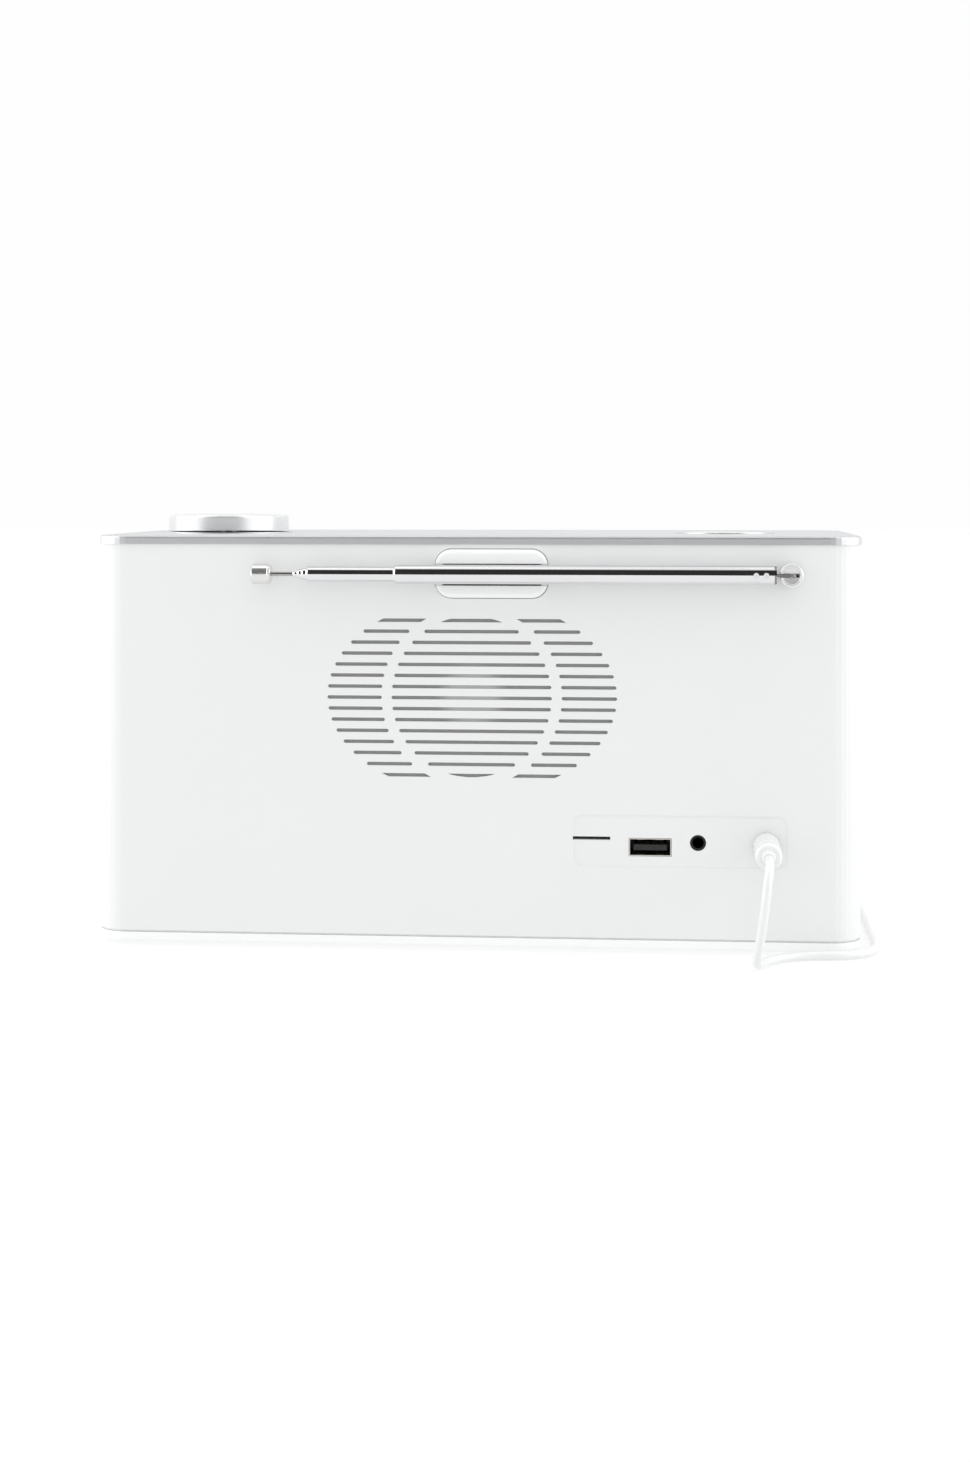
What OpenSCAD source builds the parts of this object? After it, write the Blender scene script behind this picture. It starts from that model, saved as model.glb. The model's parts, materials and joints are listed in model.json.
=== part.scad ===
// Tabletop radio: a white moulded cabinet with a silver top panel, a tuning knob and a button dial on
// top, a slotted speaker grille, sockets and a folding telescopic antenna on the back.
// Millimetres. +Z is up, the front faces -Y and the back faces +Y. The feet stand on Z = 0.

/* [Cabinet] */
// Width of the cabinet, side to side
body_w = 241; // [239:1:246]
// Depth of the cabinet, front to back
body_d = 115; // [112:1:120]
// Height of the cabinet's wall, from the shadow gap to the top panel
body_h = 122.2; // [121:0.2:126]
// Radius of the four upright corners
corner_r = 10; // [9:0.5:11]
// Thickness of the moulded wall
wall = 2.6; // [2.4:0.1:2.8]
// Thickness of the silver top panel
panel_t = 2.7; // [2.2:0.1:3]
// How far the top panel stands out past the cabinet
panel_lip = 0.5; // [0.2:0.1:1]
// Height of the rubber feet
foot_h = 1.2; // [1:0.1:1.6]
// Radius of each rubber foot
foot_r = 7; // [6:0.5:8]
// Visible height of the base plate's edge
base_t = 3; // [2.8:0.1:3.4]
// Height of the shadow gap between base and cabinet
gap_h = 0.6; // [0.4:0.1:0.8]

/* [Back grille] */
// Distance between the grille's rows
slot_pitch = 3.46; // [3.4:0.02:3.5]
// Height of one slot
slot_h = 1.1; // [0.9:0.1:1.3]
// Half the width of the grille's oval outline
oval_a = 45.5; // [44:0.5:47]
// Half the height of the full oval, before its top and bottom are cut
oval_b = 30.7; // [30:0.1:32]
// Inner radius of the plain ring in the grille
ring_in = 25.2; // [25:0.1:25.4]
// Outer radius of the plain ring in the grille
ring_out = 28.2; // [27.8:0.1:28.6]

/* [Knob and buttons] */
// Radius of the tuning knob
knob_r = 20.2; // [18:0.2:21]
// Height of the knob's top above the top panel
knob_h = 6.2; // [5.8:0.1:8]
// Distance of the knob from the middle of the cabinet
knob_x = 88; // [84:1:92]
// Distance of the button dial from the middle of the cabinet
dial_x = 79; // [76:1:82]
// Radius of the hole that holds the button dial
dial_r = 16.4; // [16.2:0.1:16.6]
// Travel of a button
button_travel = 0.5; // [0.3:0.1:0.5]

/* [Antenna] */
// Height of the antenna's pivot above the table
antenna_z = 117.8; // [116:0.1:118]
// Distance of the antenna's pivot from the middle of the cabinet
pivot_x = 98.5; // [96:0.5:100]
// Distance of the antenna's axis from the back face
antenna_off = 5.2; // [5.2:0.1:6]
// Radius of the antenna's thickest tube
tube_r = 3; // [3:0.05:3.1]
// Length of the antenna's thickest tube
tube_len = 117.5; // [116:0.5:119]
// Radius of the cap on the antenna's tip
tip_r = 3.2; // [3:0.1:3.3]

/* [Power lead] */
// Diameter of the power lead
cord_d = 2.8; // [2.6:0.1:3]
// Radius of the moulded grip of the power plug
plug_r = 4.1; // [3.8:0.1:4.3]

/* [Hidden] */
$fn = 48;

// Levels above the table
z_base = foot_h;
z_gap = z_base + base_t;
z_sill = z_gap + gap_h;
z_rim = z_sill + body_h;
z_panel = z_rim + panel_t;

// The row's middle in depth lies between the top panel's front edge and the antenna's outer side
y_back = (body_d + panel_lip - antenna_off - tip_r) / 2;
y_front = y_back - body_d;
y_mid = y_back - body_d / 2;
y_knob = y_back - 54;
y_antenna = y_back + antenna_off;
y_in = y_back - wall;
inner_w = body_w - 2 * wall;
inner_d = body_d - 2 * wall;
fit = 0.2;
lap = 0.02;
edge_r = 0.9;

// Screw bosses in the corners
boss_x = inner_w / 2 - 8;
boss_y = inner_d / 2 - 8;
boss_r = 4.5;
boss_h = 14;
screw_r = 1.5;

// Front opening, trim and display
front_w = body_w - 30;
front_h = body_h - 24;
front_z = z_sill + body_h / 2;
front_r = 9;
trim_w = 3;
panel_y = y_front + wall;
flange_t = 1.6;
flange_over = 3;
display_w = 66;
display_h = 30;
display_z = 92;
front_speaker_x = 68;
front_speaker_z = 58;
front_speaker_r = 26;

// Rear speaker and grille
grille_t = 1.1;
felt_w = 96;
felt_h = 58;
grille_x = 0.5;
grille_z = 79.4;
grille_rows = 7;
row_shift = -0.4;
woofer_r = 30;

// Loudspeaker sections, measured from the mounting face backwards
coil_r = 8;
magnet_back = 30;

// Sockets in the back
card_x = -37;
card_z = 35.7;
card_w = 11.7;
card_h = 1.05;
usb_x = -55.2;
usb_z = 33.1;
usb_w = 13.1;
usb_h = 5.5;
usb_t = 0.3;
aux_x = -70;
aux_z = 34.6;
aux_r = 2.5;
aux_bore = 1.8;
dc_x = -91;
dc_z = 34;
dc_bore = 2.85;
socket_depth = 12;
recess_t = 0.2;
board_t = 1.6;
board_y = y_in - socket_depth;

// Antenna holder
clip_x = -5.8;
clip_z = 117.9;
clip_w = 35.2;
clip_h = 15.2;
clip_r = 5;
clip_edge = 1.3;
clip_proud = 1.9;
clip_slot_z = 117.6;
clip_gap = 6.9;
clip_gap_w = 31;
clip_flange = 3;
clip_fit = 0.2;

// Telescopic tubes: outer radius, inner radius, start and end along X
tube_start = -pivot_x + 5.2;
tube_end = tube_start + tube_len;
TUBES = [
    [tube_r, 2.45, tube_start, tube_end],
    [2.4, 2.0, tube_start + 10.3, tube_end + 27.5],
    [1.95, 1.55, tube_start + 11.3, tube_end + 29],
    [1.5, 1.1, tube_start + 12.3, tube_end + 30.4],
    [1.05, 0.7, tube_start + 13.3, tube_end + 31.8]
];
rod_r = 0.65;
tip_start = tube_end + 38.7;
tip_len = 6;
blade_t = 0.9;
blade_r = 2;
pin_r = 0.75;
head_r = 3.6;
dish_r = 2.6;
slot_end = 2.4;
head_low = 0.3 - antenna_off;
mouth = 0.3;

// Button dial
dial_floor = 126.6;
dial_top = z_panel + 0.2;
dial_ring = 1.5;
key_gap = 0.35;
key_r = 5.65;
knob_edge = 1.2;
collar_h = 0.3;
knob_gap = 0.65;
switch_r = 10.3;
board_z = 120;
switch_h = 1.6;
switch_top = 2.2;
foot_gap = 0.4;
key_foot = board_z + switch_top + button_travel + foot_gap;

// Power plug and lead: the lead leaves the plug, drops behind the back, rounds the corner and is
// coiled in front of the cabinet, with the wall adapter beside the coil
plug_end = 76;
relief_l = 3.5;
grip_l = plug_end - y_back - 0.4;
LEAD_IN = [
    [-91, 79.5, 34], [-91, 82.5, 33.5], [-90.8, 85.6, 31.4], [-90.3, 87.4, 28], [-89.6, 88, 22],
    [-88.6, 87, 14], [-87.6, 83.5, 6.6], [-87.8, 77, 2.2], [-91, 68.5, 1.5], [-97, 62.5, 1.5],
    [-105, 59.5, 1.5], [-114, 58, 1.5], [-121, 54, 1.5], [-124.5, 47, 1.5], [-125.5, 37, 1.5],
    [-125.5, 15, 1.5], [-125.5, -10, 1.5], [-125.5, -35, 1.5], [-124, -55, 1.5], [-118.5, -72, 1.5],
    [-113, -85, 1.8], [-110.9, -98, 2.2]
];
LEAD_OUT = [
    [-92, -116.9, 13.8], [-84, -116.2, 12.2], [-76, -113.6, 8.6], [-69, -110, 5.7], [-62, -108, 5]
];
coil_x = -92;
coil_y = -98;
coil_in = 11.4;
coil_out = 20.6;
coil_low = 0.7;
coil_high = 12.5;
coil_top = 15.4;
coil_step = 17.2;
coil_chamfer = 1.2;
tie_w = 4;
tie_gap = 0.2;
tie_out = 0.65;
adapter_x = -50;
adapter_y = -108;
adapter_l = 64;
adapter_w = 36;
adapter_h = 27;
strain_l = 12;

// Outline of a rectangle with round corners, centred on the origin
function round_rect(w, d, r, n = 9) = [
    for (c = [0:3], i = [0:n])
        let (a = 90 * c + 90 * i / n, sx = (c == 0 || c == 3) ? 1 : -1, sy = c < 2 ? 1 : -1)
            [sx * (w / 2 - r) + r * cos(a), sy * (d / 2 - r) + r * sin(a)]
];

module slab(w, d, r, low, high) {
    translate([0, y_mid, low])
        linear_extrude(high - low)
            polygon(round_rect(w, d, r));
}

// A slab whose upper or lower outer edge is rounded off: side is 1 for the upper edge, -1 for the lower
module soft_slab(w, d, r, low, high, edge, side) {
    hull()
        for (a = [0:30:90]) {
            inset = edge * (1 - cos(a));
            rise = edge * (1 - sin(a));
            slab(
                w - 2 * inset, d - 2 * inset, r - inset,
                side < 0 ? low + rise : low, side < 0 ? high : high - rise
            );
        }
}

// Stands a drawing made in X and Z upright, from one depth to another
module upright(y0, y1) {
    translate([0, y1, 0])
        rotate([90, 0, 0])
            linear_extrude(y1 - y0)
                children();
}

module round_y(r, y0, y1) {
    translate([0, y0, 0])
        rotate([-90, 0, 0])
            cylinder(r = r, h = y1 - y0);
}

module round_x(r, x0, x1) {
    translate([x0, 0, 0])
        rotate([0, 90, 0])
            cylinder(r = r, h = x1 - x0);
}

module at_corners(dx, dy) {
    for (sx = [-1, 1], sy = [-1, 1])
        translate([sx * dx, y_mid + sy * dy, 0])
            children();
}

// One slot with round ends, from x0 to x1 about the height z
function slot_outline(x0, x1, z, h, n = 4) = [
    for (e = [0, 1], i = [0:n])
        let (a = -90 + 180 * i / n + 180 * e, x = e == 0 ? x1 - h / 2 : x0 + h / 2)
            [x + h / 2 * cos(a), z + h / 2 * sin(a)]
];

// A strip of the height h about z, cut at both ends by a curve: half-width f(z) inside and outside
function strip_outline(z, h, in, out, n = 3) = [
    for (i = [0:n]) let (t = z - h / 2 + h * i / n) [round_at(in, in, t), t],
    for (i = [n:-1:0]) let (t = z - h / 2 + h * i / n) [round_at(out[0], out[1], t), t]
];
function round_at(a, b, t) = a * sqrt(max(0, 1 - pow(t / b, 2)));

module grille_slots() {
    for (row = [-grille_rows:grille_rows]) {
        z = row * slot_pitch + row_shift;
        edge = abs(row) == grille_rows;
        if (edge) {
            for (s = [-1, 1])
                scale([s, 1])
                    polygon(strip_outline(z, slot_h, ring_out, [oval_a, oval_b]));
            polygon([
                for (i = [0:3]) let (t = z - slot_h / 2 + slot_h * i / 3) [round_at(ring_in, ring_in, t), t],
                for (i = [3:-1:0])
                    let (t = z - slot_h / 2 + slot_h * i / 3)
                        [-round_at(ring_in, ring_in, t), t]
            ]);
        } else {
            m = round_at(ring_in, ring_in, z);
            a = round_at(ring_out, ring_out, z);
            b = round_at(oval_a, oval_b, z);
            polygon(slot_outline(-m, m, z, slot_h));
            polygon(slot_outline(a, b, z, slot_h));
            polygon(slot_outline(-b, -a, z, slot_h));
        }
    }
}

module socket_holes() {
    translate([card_x, card_z])
        square([card_w, card_h], center = true);
    translate([usb_x, usb_z])
        square([usb_w + fit, usb_h + fit], center = true);
}

module corner_boss() {
    translate([0, 0, z_sill])
        difference() {
            union() {
                cylinder(r = boss_r, h = boss_h);
                children();
            }
            translate([0, 0, -1])
                cylinder(r = screw_r + 0.05, h = boss_h - 1);
        }
}

module cabinet_shell() {
    color("white")
    difference() {
        union() {
            difference() {
                slab(body_w, body_d, corner_r, z_sill, z_rim);
                slab(inner_w, inner_d, corner_r - wall, z_sill - 1, z_rim + 1);
            }
            for (sx = [-1, 1], sy = [-1, 1])
                translate([sx * boss_x, y_mid + sy * boss_y, 0])
                    corner_boss() {
                        translate([sx > 0 ? boss_r - 1 : -9, -1, 0])
                            cube([10 - boss_r, 2, boss_h]);
                    }
        }
        upright(y_front - 1, y_front + wall + 1)
            translate([0, front_z])
                polygon(round_rect(front_w, front_h, front_r));
        upright(y_back - wall - 1, y_back + 1)
            translate([grille_x, grille_z])
                grille_slots();
        upright(y_back - wall - 1, y_back + 1)
            socket_holes();
        upright(y_back - recess_t, y_back + 1)
            translate([-64.5, 35])
                polygon(round_rect(66, 16, 3));
        translate([aux_x, 0, aux_z])
            round_y(aux_r, y_back - wall - 1, y_back + 1);
        translate([dc_x, 0, dc_z])
            round_y(plug_r - 0.3, y_back - wall - 1, y_back + 1);
        upright(y_back - wall - 1, y_back + 1)
            translate([clip_x, clip_z])
                polygon(round_rect(clip_w + 2 * clip_fit, clip_h + 2 * clip_fit, clip_r + clip_fit));
        upright(y_in - 1, y_back - grille_t)
            translate([grille_x, grille_z])
                polygon(round_rect(felt_w, felt_h, 8));
        translate([-pivot_x, 0, antenna_z])
            round_y(3.2, y_back - wall - 1, y_back + 1);
    }
}

module base_plate() {
    color("white")
    difference() {
        union() {
            soft_slab(body_w, body_d, corner_r, z_base, z_gap, edge_r, -1);
            slab(body_w - 1.8, body_d - 1.8, corner_r - 0.9, z_gap, z_sill);
            difference() {
                slab(inner_w - 2 * fit, inner_d - 2 * fit, corner_r - wall - fit, z_sill, z_sill + 3);
                slab(inner_w - 4, inner_d - 4, corner_r - wall - 2, z_sill, z_sill + 4);
                at_corners(boss_x, boss_y)
                    translate([-14, -14, z_sill])
                        cube([28, 28, 4]);
            }
            for (x = [-58, 78], y = [-32, 16])
                translate([x, y, z_sill])
                    cylinder(r = 3, h = 14 - z_sill);
        }
        at_corners(boss_x, boss_y) {
            translate([0, 0, z_base - 1])
                cylinder(r = screw_r + fit, h = 6);
            translate([0, 0, z_base - 1])
                cylinder(r = 3.2, h = 2.4);
        }
    }
}

module rubber_feet() {
    color("gray")
    at_corners(body_w / 2 - 30, body_d / 2 - 22)
        rotate_extrude()
            polygon([[0, 0], [foot_r - 0.5, 0], [foot_r, 0.5], [foot_r, foot_h], [0, foot_h]]);
}

module base_screws() {
    color("silver")
    at_corners(boss_x, boss_y)
        difference() {
            union() {
                translate([0, 0, z_base + 0.4])
                    cylinder(r = 2.9, h = 1);
                translate([0, 0, z_base + 1.3])
                    cylinder(r = screw_r, h = 11);
            }
            for (a = [0, 90])
                rotate([0, 0, a])
                    translate([-1.6, -0.3, z_base])
                        cube([3.2, 0.6, 0.9]);
        }
}

module top_panel() {
    color("silver")
    difference() {
        union() {
            soft_slab(
                body_w + 2 * panel_lip, body_d + 2 * panel_lip, corner_r + panel_lip,
                z_rim, z_panel, edge_r, 1
            );
            translate([knob_x, y_knob, z_panel - lap])
                cylinder(r = knob_r + 1, h = collar_h + lap);
        }
        translate([knob_x, y_knob, z_rim - 1])
            cylinder(r = 4.6, h = 6);
        translate([-dial_x, y_knob, z_rim - 1])
            cylinder(r = dial_r, h = 6);
    }
}

module top_tray() {
    color("dimgray")
    difference() {
        union() {
            slab(inner_w - 0.6, inner_d - 0.6, corner_r - wall - 0.3, z_rim - 2, z_rim);
            for (sx = [-1, 1], sy = [-1, 1])
                translate([-dial_x + sx * 18, y_knob + sy * 16, board_z])
                    cylinder(r = 2, h = z_rim - 1 - board_z);
        }
        translate([knob_x, y_knob, z_rim - 3])
            cylinder(r = 4.5, h = 4);
        translate([-dial_x, y_knob, z_rim - 3])
            cylinder(r = dial_r - dial_ring, h = 4);
        upright(y_in - 2.4, y_in + 1)
            translate([clip_x, clip_z])
                polygon(round_rect(clip_w + 2 * clip_flange + 1, clip_h + 0.8, 3));
    }
}

module front_slots() {
    for (row = [-grille_rows:grille_rows]) {
        z = row * slot_pitch;
        m = sqrt(pow(front_speaker_r, 2) - pow(z, 2));
        polygon(slot_outline(-m, m, z, slot_h));
    }
}

module front_panel() {
    color("gainsboro")
    difference() {
        union() {
            upright(y_front + 0.8, panel_y + flange_t)
                translate([0, front_z])
                    polygon(round_rect(
                        front_w - 2 * trim_w - 0.6, front_h - 2 * trim_w - 0.6, front_r - trim_w
                    ));
            upright(panel_y, panel_y + flange_t)
                translate([0, front_z])
                    polygon(round_rect(front_w + 2 * flange_over, front_h + 2 * flange_over, front_r));
        }
        for (s = [-1, 1])
            upright(y_front, panel_y + flange_t + 1)
                translate([s * front_speaker_x, front_speaker_z])
                    front_slots();
        upright(y_front, panel_y + flange_t + 1)
            translate([0, display_z])
                polygon(round_rect(display_w - 4, display_h - 4, 2));
        upright(y_front, y_front + 2.4)
            translate([0, display_z])
                polygon(round_rect(display_w, display_h, 4));
    }
}

module front_trim() {
    color("silver")
    difference() {
        upright(y_front - 0.3, panel_y)
            translate([0, front_z])
                polygon(round_rect(front_w - fit, front_h - fit, front_r));
        upright(y_front - 1, panel_y + 1)
            translate([0, front_z])
                polygon(round_rect(front_w - 2 * trim_w, front_h - 2 * trim_w, front_r - trim_w));
    }
}

module display_window() {
    color("black")
    upright(y_front + 0.9, y_front + 2.4)
        translate([0, display_z])
            polygon(round_rect(display_w - fit, display_h - fit, 4));
}

module display_module() {
    color("darkgreen")
    upright(panel_y + flange_t, panel_y + flange_t + 4.6)
        translate([0, display_z])
            difference() {
                square([display_w + 4, display_h], center = true);
                for (sx = [-1, 1], sy = [-1, 1])
                    translate([sx * display_w / 2, sy * (display_h / 2 - 2)])
                        circle(r = 1);
            }
}

module tuning_knob() {
    low = z_panel + collar_h + knob_gap;
    top = z_panel + knob_h;
    color("silver")
    translate([knob_x, y_knob, 0])
        rotate_extrude($fn = 96)
            polygon([
                [3.05, low], [5, low], [5, top - 2], [knob_r - 1.5, top - 2], [knob_r - 1.5, low],
                [knob_r, low], [knob_r, top - knob_edge],
                for (a = [15:15:90])
                    [knob_r - knob_edge * (1 - cos(a)), top - knob_edge * (1 - sin(a))],
                [knob_r - 2.6, top],
                [knob_r - 3.4, top - 0.4], [0, top - 0.6], [0, top - 1.5], [3.05, top - 1.5]
            ]);
}

module encoder_shaft() {
    color("silver")
    translate([knob_x, y_knob, 0])
        difference() {
            translate([0, 0, z_rim - 5.2])
                cylinder(r = 3, h = z_panel + knob_h - 1.6 - z_rim + 5.2);
            translate([1.5, -4, z_panel + 1.6])
                cube([4, 8, 8]);
        }
}

module encoder_plunger() {
    color("ivory")
    translate([knob_x, y_knob, z_rim - 7])
        cylinder(r = 2.9, h = 1.75);
}

module encoder_body() {
    color("dimgray")
    translate([knob_x, y_knob, 0])
        difference() {
            union() {
                translate([-6, -6, z_rim - 9])
                    cube([12, 12, 7]);
                translate([0, 0, z_rim - 2.1])
                    cylinder(r = 4.4, h = 4.6);
            }
            translate([0, 0, z_rim - 7.8])
                cylinder(r = 3.06, h = 12);
        }
}

module button_bezel() {
    color("silver")
    translate([-dial_x, y_knob, 0])
        rotate_extrude()
            polygon([
                [dial_r - dial_ring, z_rim], [dial_r - 0.1, z_rim], [dial_r - 0.1, z_panel + 0.2],
                [dial_r - 0.4, z_panel + 0.35], [dial_r - dial_ring, z_panel + 0.1]
            ]);
}

module button_middle() {
    color("silver")
    translate([-dial_x, y_knob, 0]) {
        translate([0, 0, dial_floor])
            cylinder(r = key_r, h = dial_top - dial_floor);
        translate([0, 0, key_foot])
            cylinder(r = 1.4, h = dial_floor - key_foot + lap);
    }
}

// A quarter of the dial's ring, centred on +X before it is turned
module dial_key(turn) {
    color("white")
    translate([-dial_x, y_knob, 0])
        rotate([0, 0, turn]) {
            difference() {
                translate([0, 0, dial_floor])
                    cylinder(r = dial_r - dial_ring - key_gap, h = dial_top - dial_floor);
                translate([0, 0, dial_floor - 1])
                    cylinder(r = key_r + key_gap, h = 8);
                for (side = [-1, 1])
                    rotate([0, 0, side * 45])
                        translate([-20, side > 0 ? -key_gap : key_gap - 40, dial_floor - 1])
                            cube([40, 40, 8]);
            }
            translate([switch_r, 0, key_foot])
                cylinder(r = 1.4, h = dial_floor - key_foot + lap);
        }
}

module button_right() {
    dial_key(0);
}

module button_rear() {
    dial_key(90);
}

module button_left() {
    dial_key(180);
}

module button_front() {
    dial_key(270);
}

module button_board() {
    color("darkgreen")
    translate([-dial_x - 22, y_knob - 20, board_z - board_t])
        cube([44, 40, board_t]);
}

module button_switches() {
    color("dimgray")
    translate([-dial_x, y_knob, board_z])
        for (p = [[0, 0], [1, 0], [-1, 0], [0, 1], [0, -1]])
            translate([p[0] * switch_r, p[1] * switch_r, 0]) {
                translate([-3, -3, 0])
                    cube([6, 6, switch_h]);
                translate([0, 0, switch_h - 0.1])
                    cylinder(r = 1.6, h = switch_top - switch_h + 0.1);
            }
}

// Loudspeaker parts, drawn about +Z with the mounting face at zero and the magnet behind
module basket(r) {
    b = r / 2;
    rotate_extrude()
        polygon([
            [r - 4, 0], [r, 0], [r, 2], [r - 2.5, 2], [r - 2.5, 6.5], [b + 1.5, 18], [b + 1.5, 19.5],
            [coil_r + 1.3, 19.5], [coil_r + 1.3, 18], [b, 18], [r - 4, 6.2]
        ]);
}

module surround(r) {
    rotate_extrude()
        translate([r - 6.5, 2.6])
            circle(r = 2.3);
}

module cone(r) {
    rotate_extrude()
        polygon([
            [0, 7.2], [4, 7.9], [7, 9.6], [coil_r + 0.5, 11.2], [r - 9.2, 2], [r - 9.2, 3],
            [coil_r + 0.6, 12.4], [coil_r + 0.6, 19], [coil_r - 0.1, 19], [coil_r - 0.1, 11.9],
            [6.6, 10.4], [3.8, 8.8], [0, 8]
        ]);
}

module magnet(r) {
    m = r * 0.62;
    rotate_extrude()
        polygon([
            [0, 17], [7.3, 17], [7.3, 26], [coil_r + 1.3, 26], [coil_r + 1.3, 19.5],
            [m, 19.5], [m, magnet_back], [0, magnet_back]
        ]);
}

module face_back() {
    translate([grille_x, y_in, grille_z])
        rotate([90, 0, 0])
            children();
}

module face_front(side) {
    translate([side * front_speaker_x, panel_y + flange_t, front_speaker_z])
        rotate([-90, 0, 0])
            children();
}

module grille_felt() {
    color("white")
    upright(y_in, y_back - grille_t - 0.05)
        translate([grille_x, grille_z])
            polygon(round_rect(felt_w - fit, felt_h - fit, 8));
}

module woofer_basket() {
    color("dimgray")
    face_back()
        basket(woofer_r);
}

module woofer_cone() {
    color("lightgray")
    face_back()
        cone(woofer_r);
}

module woofer_magnet() {
    color("gray")
    face_back()
        magnet(woofer_r);
}

module front_baskets() {
    color("dimgray")
    for (side = [-1, 1])
        face_front(side)
            basket(front_speaker_r);
}

module speaker_surrounds() {
    color("dimgray") {
        face_back()
            surround(woofer_r);
        for (side = [-1, 1])
            face_front(side)
                surround(front_speaker_r);
    }
}

module front_magnets() {
    color("gray")
    for (side = [-1, 1])
        face_front(side)
            magnet(front_speaker_r);
}

module left_cone() {
    color("lightgray")
    face_front(-1)
        cone(front_speaker_r);
}

module right_cone() {
    color("lightgray")
    face_front(1)
        cone(front_speaker_r);
}

module main_board() {
    color("darkgreen")
    difference() {
        translate([-65, -38, 14])
            cube([150, 60, board_t]);
        for (x = [-58, 78], y = [-32, 16])
            translate([x, y, 13])
                cylinder(r = 1.5, h = 4);
    }
}

module tuner_can() {
    color("silver")
    difference() {
        translate([36, -12, 14 + board_t])
            cube([30, 24, 6]);
        translate([36.5, -11.5, 13 + board_t])
            cube([29, 23, 6.5]);
        for (x = [41:5:61])
            translate([x, 0, 18])
                cylinder(r = 1, h = 6);
    }
}

module amp_heatsink() {
    color("silver")
    translate([-34, -30, 14 + board_t]) {
        cube([28, 12, 2]);
        for (i = [0:6])
            translate([i * 4.4, 0, 1.9])
                cube([1.6, 12, 14]);
    }
}

module port_board() {
    color("darkgreen")
    translate([-104, board_y - board_t, 21])
        cube([76, board_t, 25]);
}

// Wires along the middles of the cabinet: antenna lead, then one pair for each loudspeaker
module wiring() {
    color("red") {
        swept([
            [-96, 46.5, 112], [-92, 40, 100], [-88, 30, 70], [-50, 24, 40], [20, 14, 26], [44, 8, 22]
        ], 0.6, 2);
        swept([[20, 18, 16], [20, 24, 34], [14, 34, 44], [8, 38.5, 50.5]], 0.6, 2);
        swept([[74, -30, 16], [80, -32, 24], [76, -44, 36.5]], 0.6, 2);
        swept([[-52, -30, 16], [-60, -32, 24], [-76, -44, 36.5]], 0.6, 2);
    }
}

module usb_shell() {
    color("silver")
    difference() {
        upright(board_y, y_back - recess_t)
            translate([usb_x, usb_z])
                square([usb_w, usb_h], center = true);
        upright(board_y + 0.6, y_back + 1)
            translate([usb_x, usb_z])
                square([usb_w - 2 * usb_t, usb_h - 2 * usb_t], center = true);
    }
}

module usb_tongue() {
    color("lightgray")
    translate([usb_x, 0, usb_z])
        union() {
            upright(board_y + 0.6, board_y + 3)
                square([usb_w - 2 * usb_t, usb_h - 2 * usb_t], center = true);
            upright(board_y + 2.9, y_back - 0.9)
                translate([0, -0.15])
                    square([10.3, 1.75], center = true);
        }
}

module card_reader() {
    color("dimgray")
    difference() {
        upright(board_y, y_in)
            translate([card_x, card_z])
                square([14, 2.6], center = true);
        upright(board_y + 1, y_in + 1)
            translate([card_x, card_z])
                square([card_w, card_h], center = true);
    }
}

module aux_jack() {
    color("black")
    difference() {
        union() {
            upright(board_y, y_in)
                translate([aux_x, aux_z])
                    square([9, 9], center = true);
            translate([aux_x, 0, aux_z])
                round_y(aux_r - 0.1, y_in - 0.1, y_back - 0.6);
        }
        translate([aux_x, 0, aux_z])
            round_y(aux_bore, board_y + 0.8, y_back);
    }
}

module dc_jack() {
    color("black")
    translate([dc_x, 0, dc_z]) {
        difference() {
            upright(board_y, y_in)
                square([10, 11], center = true);
            round_y(dc_bore, board_y + 1.5, y_in + 1);
        }
        round_y(0.95, board_y + 1.4, y_in - 1);
    }
}

module antenna_clip() {
    color("white")
    difference() {
        union() {
            hull()
                for (a = [0:30:90])
                    upright(y_in - 0.6, y_back + clip_proud - clip_edge * (1 - sin(a)))
                        translate([clip_x, clip_z])
                            polygon(round_rect(
                                clip_w - 2 * clip_edge * (1 - cos(a)),
                                clip_h - 2 * clip_edge * (1 - cos(a)),
                                clip_r - clip_edge * (1 - cos(a))
                            ));
            upright(y_in - 1.8, y_in)
                translate([clip_x, clip_z])
                    polygon(round_rect(clip_w + 2 * clip_flange, clip_h - 0.4, 3));
        }
        upright(y_in - 3, y_back + 3)
            translate([clip_x, clip_slot_z])
                square([clip_gap_w, clip_gap], center = true);
        upright(y_back + 0.3, y_back + 3)
            translate([clip_x, clip_slot_z])
                square([clip_w + 2, clip_gap], center = true);
    }
}

module antenna_bush() {
    color("goldenrod")
    translate([-pivot_x, 0, antenna_z])
        difference() {
            union() {
                round_y(3.15, y_in - 0.1, y_back - 0.1);
                round_y(5.5, y_in - 1.2, y_in);
            }
            round_y(2.05, y_in - 2, y_back);
        }
}

// A dished disc with a slot for the antenna's flat tongue, on a shaft that turns in the bush
module antenna_swivel() {
    color("silver")
    translate([-pivot_x, y_antenna, antenna_z])
        difference() {
            union() {
                rotate([-90, 0, 0])
                    rotate_extrude()
                        polygon([
                            [0, head_low], [head_r - 0.4, head_low], [head_r, head_low + 0.4], [head_r, 1.7],
                            for (a = [0:30:180])
                                [head_r - 0.5 + 0.5 * cos(a), 1.7 + 0.5 * sin(a)],
                            [dish_r, 1.4], [0, 1.2]
                        ]);
                round_y(2, -antenna_off - 5.4, head_low + 0.1);
            }
            translate([0, -antenna_off - 4.75, 0])
                rotate([-90, 0, 0])
                    difference() {
                        cylinder(r = 3, h = 0.7);
                        translate([0, 0, -1])
                            cylinder(r = 1.5, h = 3);
                    }
            translate([-slot_end, -2.6, -0.6])
                cube([8, 8, 1.2]);
            translate([0, 0, -4])
                cylinder(r = pin_r, h = 8);
        }
}

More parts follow.
